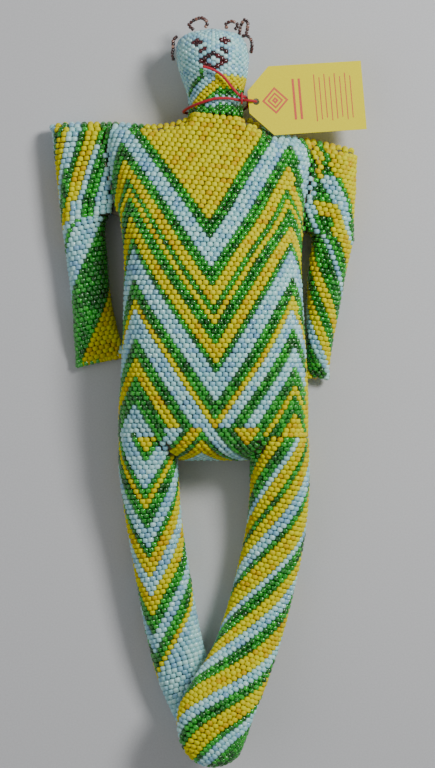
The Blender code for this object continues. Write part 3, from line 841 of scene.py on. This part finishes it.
def doll(rng):
    chest, belly = Chest(), Tube(TORSO, LYING)
    legs = {"right": Tube(RIGHT_LEG, LYING), "left": Tube(LEFT_LEG, LYING)}
    arms = {"right": Tube(RIGHT_ARM, LYING), "left": Tube(LEFT_ARM, LYING)}
    head = Tube(HEAD, ROUND)
    belly.others = list(legs.values())
    for leg in legs.values():
        leg.others = [belly]

    chest_rows, belly_rows = row_places(chest, ROW), row_places(belly, ROW)
    rows = len(chest_rows)
    chest_beads = lay_rows(row_grid(chest, chest_rows), 0, column(CENTRE_COLUMN))
    belly_beads = lay_rows(row_grid(belly, belly_rows), rows, column(CENTRE_COLUMN))
    belly_front = np.array([belly.ring(t)[0, 1] for t in belly_rows])

    outer = chest_beads.centres + chest_beads.normals * BEAD / 2
    at_neck = np.abs(outer[:, 0] - NECK_GAP[0]) < NECK_GAP[1] + 2
    limit = np.where(at_neck, Chest.TOP + 0.4, shoulder_line(outer[:, 0]) - RIM - 0.4)
    chest_beads = chest_beads.pick(outer[:, 1] < limit)
    belly_beads = belly_beads.pick(belly_beads.centres[:, 1] > hip_line(belly_beads.centres[:, 0]))
    for beads in (chest_beads, belly_beads):
        beads.colours = chest_colours(beads, rows)
    rim = rim_beads(chest)
    copy_colours(rim, chest_beads)
    rim.halves = np.where(rim.centres[:, 0] < -6, -1, 1)
    chest_beads = joined([chest_beads, rim])
    for side, mask in (("right", chest_beads.halves < 0), ("left", chest_beads.halves >= 0)):
        add_beads(side + "_chest", chest_beads.pick(mask), side + "_arm", "torso_bead_skin", rng,
                  shoulder_blend(side))
    add_beads("belly", belly_beads, "torso", "torso_bead_skin", rng)

    for side, arm in arms.items():
        beads = lay_rows(row_grid(arm, row_places(arm, ROW)), rows)
        line = ARMPIT + chest.row_line(beads.centres[:, 0], ARMPIT)
        beads = beads.pick(beads.centres[:, 1] < line)
        last = chest_beads.pick((chest_beads.rows == rows - 1) & (chest_beads.normals[:, 2] > 0.3))
        nearest = np.argmin(np.abs(last.centres[:, 0] - arm.fine[0, 0]))
        offset = last.halves[nearest] + (1 if (last.halves[nearest] + rows - 1) % 2 == 0 else 0)
        shifted = beads.halves + offset - (offset % 2)
        phase = beads.rows - rows + 1 + 2 * PEAK - np.abs(shifted)
        stripes = RIGHT_ARM_STRIPES if side == "right" else LEFT_ARM_STRIPES
        beads.colours = stripe(stripes, phase, ARMS_START)
        add_beads(side + "_arm", beads, side + "_arm", side + "_arm_bead_skin", rng)

    for side, leg in legs.items():
        places = row_places(leg, ROW)
        front = row_grid(leg, places)[:, 0, 1]
        last_belly = belly_front[belly_front > HIP_LINE].min()
        first = int(np.argmin(np.abs(front - (last_belly - ROW))))
        step = (places[first + 1] - places[first]) / (front[first + 1] - front[first])
        grid = row_grid(leg, np.clip(places + (last_belly - ROW - front[first]) * step, 0, 1))
        beads = lay_rows(grid, -first, column(RIGHT_LEG_COLUMN) if side == "right" else None)
        beads = beads.pick(beads.centres[:, 1] < hip_line(beads.centres[:, 0]))
        if side == "right":
            beads.colours = stripe(RIGHT_LEG_STRIPES, beads.rows + np.abs(beads.halves))
        else:
            beads.colours = stripe(LEFT_LEG_STRIPES, beads.rows + beads.halves, LEG_START)
        add_beads(side + "_leg", beads, side + "_leg", side + "_leg_bead_skin", rng, hip_blend(side))

    beads = lay_rows(row_grid(head, row_places(head, HEAD_BEAD / 2)), 1, column(HEAD_COLUMN), turned=True,
                     columns=head_columns)
    beads.sizes[:, 0] = HEAD_BEAD * 1.06
    beads.colours = head_colours(beads)
    add_beads("head", beads, "head", "head_bead_skin", rng)

    torso_rings = []
    arm_rings = {"right": [], "left": []}
    for t in np.linspace(0.05, 1, 26):
        ring = chest.ring(t, CLOTH_DEPTH)
        ring[:, 1] = np.minimum(ring[:, 1], shoulder_line(ring[:, 0]) - CLOTH_DEPTH)
        torso_rings.append(ring[(ring[:, 0] > -66) & (ring[:, 0] < 61)])
        arm_rings["right"].append(ring[ring[:, 0] < -66.6])
        arm_rings["left"].append(ring[ring[:, 0] > 61.6])
    torso_rings += [belly.ring(t, CLOTH_DEPTH) for t in np.linspace(0.02, 0.96, 40)]
    add_casing("torso", torso_rings, "torso")
    for side, arm in arms.items():
        rings = arm_rings[side] + [arm.ring(t, CLOTH_DEPTH) for t in np.linspace(0.03, 0.86, 30)]
        add_casing(side + "_arm", rings, side + "_arm", shoulder_blend(side))
    for side, leg in legs.items():
        rings = [leg.ring(t, CLOTH_DEPTH) for t in np.linspace(0.06, 0.95, 50)]
        add_casing(side + "_leg", rings, side + "_leg", hip_blend(side))
    add_casing("head", [head.ring(t, CLOTH_DEPTH) for t in np.linspace(0.02, 0.95, 30)], "head")


# ---------------------------------------------------------------- hair, cord and tag
HAIR_BEAD = (2.5, 1.9)
HAIR_LOOPS = {
    "hair_ear_right": [(-23.4, 168.6, 22.0), (-25.2, 166.2, 23.5), (-25.6, 161.6, 24.5), (-25.9, 157.6, 25.0),
                       (-25.4, 154.2, 25.0)],
    "hair_crown_right": [(-13.0, 174.0, 20.0), (-15.2, 177.0, 20.5), (-11.0, 180.0, 22.0),
                         (-6.0, 180.4, 23.0), (-3.6, 177.0, 23.5), (-4.6, 175.2, 23.0)],
    "hair_crown_left": [(8.4, 175.0, 22.0), (8.6, 177.2, 23.0), (12.2, 178.2, 24.0), (16.0, 176.2, 24.5),
                        (14.4, 173.6, 24.0)],
    "hair_tuft_left": [(17.0, 171.2, 20.0), (17.6, 175.6, 20.5), (20.4, 180.0, 21.0), (22.4, 176.6, 21.0),
                       (21.6, 171.6, 20.5)],
    "hair_ear_left": [(19.4, 168.6, 27.0), (22.2, 168.4, 28.5), (24.6, 165.0, 29.5), (24.8, 161.4, 29.0),
                      (24.4, 158.6, 27.0)],
}
CORD_RADIUS = 0.9
CORD_ROUTE = [
    (27.4, 125.6, 36.3), (25.2, 125.8, 38.7), (22.6, 126.0, 39.6), (20.4, 126.2, 38.8), (18.4, 126.2, 37.6),
    (15.6, 126.6, 37.4), (9.5, 127.4, 39.0), (1.5, 127.0, 40.4), (-6.6, 125.0, 38.6), (-13.6, 122.8, 33.8),
    (-17.6, 121.4, 27.0), (-18.9, 120.8, 20.0), (-17.2, 121.0, 11.6), (-12.0, 121.4, 5.0), (-4.0, 122.0, 1.5),
    (6.0, 122.6, 1.4), (15.0, 123.2, 4.6), (20.4, 123.8, 11.2), (22.4, 125.2, 20.0), (22.0, 127.0, 28.4),
    (20.9, 128.4, 34.2), (19.8, 128.7, 36.8), (18.0, 128.8, 37.8), (15.4, 130.6, 38.8), (11.6, 134.8, 40.4),
    (6.0, 141.2, 43.6), (0.0, 144.8, 45.5), (-6.4, 146.8, 45.9),
]
TAG_HOLE_AT, TAG_TURN, TAG_DROP = (27.4, 125.5, 36.4), 5, 12
TAG_THICKNESS = 0.5


def smooth_route(points, spacing):
    """Points along a smooth curve through the given ones, evenly spaced."""
    route = [np.array(p, float) for p in points]
    dense = []
    for i in range(len(route) - 1):
        before, after = route[max(i - 1, 0)], route[min(i + 2, len(route) - 1)]
        here, there = route[i], route[i + 1]
        h1, h2 = here + (there - before) / 6, there - (after - here) / 6
        for t in np.linspace(0, 1, 24, endpoint=i == len(route) - 2):
            dense.append((1 - t) ** 3 * here + 3 * t * (1 - t) ** 2 * h1
                         + 3 * t * t * (1 - t) * h2 + t**3 * there)
    dense = np.array(dense)
    along = np.concatenate([[0], np.cumsum(np.linalg.norm(np.diff(dense, axis=0), axis=1))])
    at = np.linspace(0, along[-1], int(round(along[-1] / spacing)) + 1)
    return np.stack([np.interp(at, along, dense[:, k]) for k in range(3)], axis=1)


def twisted_tube(name, points, radius, plies=3, lay=4.2, sides=18):
    """A laid cord: a tube whose section is a few plies, turning once every lay along it."""
    tangents = unit(np.gradient(points, axis=0))
    side = np.cross(tangents[0], (0, 0, 1.0))
    verts, faces = [], []
    along = np.concatenate([[0], np.cumsum(np.linalg.norm(np.diff(points, axis=0), axis=1))])
    for k, (spot, tangent) in enumerate(zip(points, tangents)):
        side = unit(side - tangent * np.dot(side, tangent))
        up = np.cross(tangent, side)
        for j in range(sides):
            angle = 2 * pi * j / sides
            twist = angle - 2 * pi * along[k] / lay
            reach = radius * (0.80 + 0.20 * abs(cos(plies * twist / 2)))
            verts.append(tuple((spot + (side * cos(angle) + up * sin(angle)) * reach) * MM))
    for k in range(len(points) - 1):
        for j in range(sides):
            n = (j + 1) % sides
            faces.append((k * sides + j, k * sides + n, (k + 1) * sides + n, (k + 1) * sides + j))
    faces.append(tuple(reversed(range(sides))))
    faces.append(tuple(range((len(points) - 1) * sides, len(points) * sides)))
    mesh = bpy.data.meshes.new(name)
    mesh.from_pydata(verts, [], faces)
    mesh.shade_smooth()
    return add_object(name, mesh)


def neck_cord():
    points = smooth_route(CORD_ROUTE, 0.5)
    cord = twisted_tube("neck_cord", points, CORD_RADIUS)
    cord.data.materials.append(CORD_YARN)
    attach(cord, "torso")
    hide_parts("tag_cord")


def hair(rng):
    for name, route in HAIR_LOOPS.items():
        points = smooth_route(route, HAIR_BEAD[1] * 1.04)
        axes = unit(np.gradient(points, axis=0))
        lift = np.tile([0.0, 0.2, 1.0], (len(points), 1))
        normals = unit(lift - axes * np.sum(lift * axes, axis=1, keepdims=True))
        count = len(points)
        beads = Beads(points, axes, normals, np.tile(HAIR_BEAD, (count, 1)), np.zeros(count), np.zeros(count))
        piece = bead_mesh(name + "_beads", beads, rng)
        # the brightest hair beads are painted glints
        piece.data.materials.append(COPPER_PAINTED_GLINTS)
        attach(piece, "head")
        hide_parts(name)


def flat_print(name, outlines):
    """Thin printed shapes on the card. Each is a closed strip between its outer and inner points."""
    drop, turn = radians(TAG_DROP), radians(TAG_TURN)
    along = np.array([cos(drop) * cos(turn), cos(drop) * sin(turn), -sin(drop)])
    across = np.array([-sin(turn), cos(turn), 0.0])
    up = np.cross(along, across)
    lift = TAG_THICKNESS / 2 + 0.03
    verts, faces = [], []
    for outer, inner in outlines:
        base = len(verts)
        count = len(outer)
        for ring in (outer, inner):
            verts += [tuple((TAG_HOLE_AT + along * u + across * v + up * lift) * MM) for u, v in ring]
        for j in range(count):
            n = (j + 1) % count
            faces.append((base + j, base + n, base + count + n, base + count + j))
    mesh = bpy.data.meshes.new(name)
    mesh.from_pydata(verts, [], faces)
    piece = add_object(name, mesh)
    thick = piece.modifiers.new("thickness", "SOLIDIFY")
    thick.thickness = 0.05 * MM
    thick.offset = 1.0
    mesh.materials.append(PRINT)
    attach(piece, "tag")


def tag_print():
    def diamond(u, v, size, width):
        def corners(reach):
            return [(u + reach, v), (u, v + reach), (u - reach, v), (u, v - reach)]
        return corners(size), corners(size - width)

    def rule(u, low, high, width):
        def corners(half, inset):
            return [(u - half, low + inset), (u + half, low + inset),
                    (u + half, high - inset), (u - half, high - inset)]
        return corners(width / 2, 0), corners(0.01, 0.01)

    flat_print("tag_motif", [diamond(12.5, 0, 8.6, 1.6), diamond(12.5, 0, 5.2, 1.4),
                             diamond(12.5, 0, 2.2, 1.6)])
    rules = [rule(u, -13, 13, 1.5) for u in (25.0, 29.0)]
    rules += [rule(39.0 + 3.4 * k, -15 + (k % 3), 15 - 2 * (k % 2), 0.6) for k in range(8)]
    flat_print("tag_rules", rules)


def carried_over():
    """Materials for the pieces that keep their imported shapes."""
    looks = {"swing_tag": CARD, "cord_knot": CORD_YARN, "right_shoulder_seam_thread": THREAD,
             "left_shoulder_seam_thread": THREAD}
    for part in ("torso", "head", "right_arm", "left_arm", "right_leg", "left_leg"):
        looks[part + "_stuffing"] = WADDING
    for name, look in looks.items():
        mesh = bpy.data.objects[name].data
        mesh.materials.clear()
        mesh.materials.append(look)


def main():
    rng = np.random.default_rng(SEED)
    camera()
    neck_cord()
    studio()
    doll(rng)
    hair(rng)
    tag_print()
    carried_over()


main()
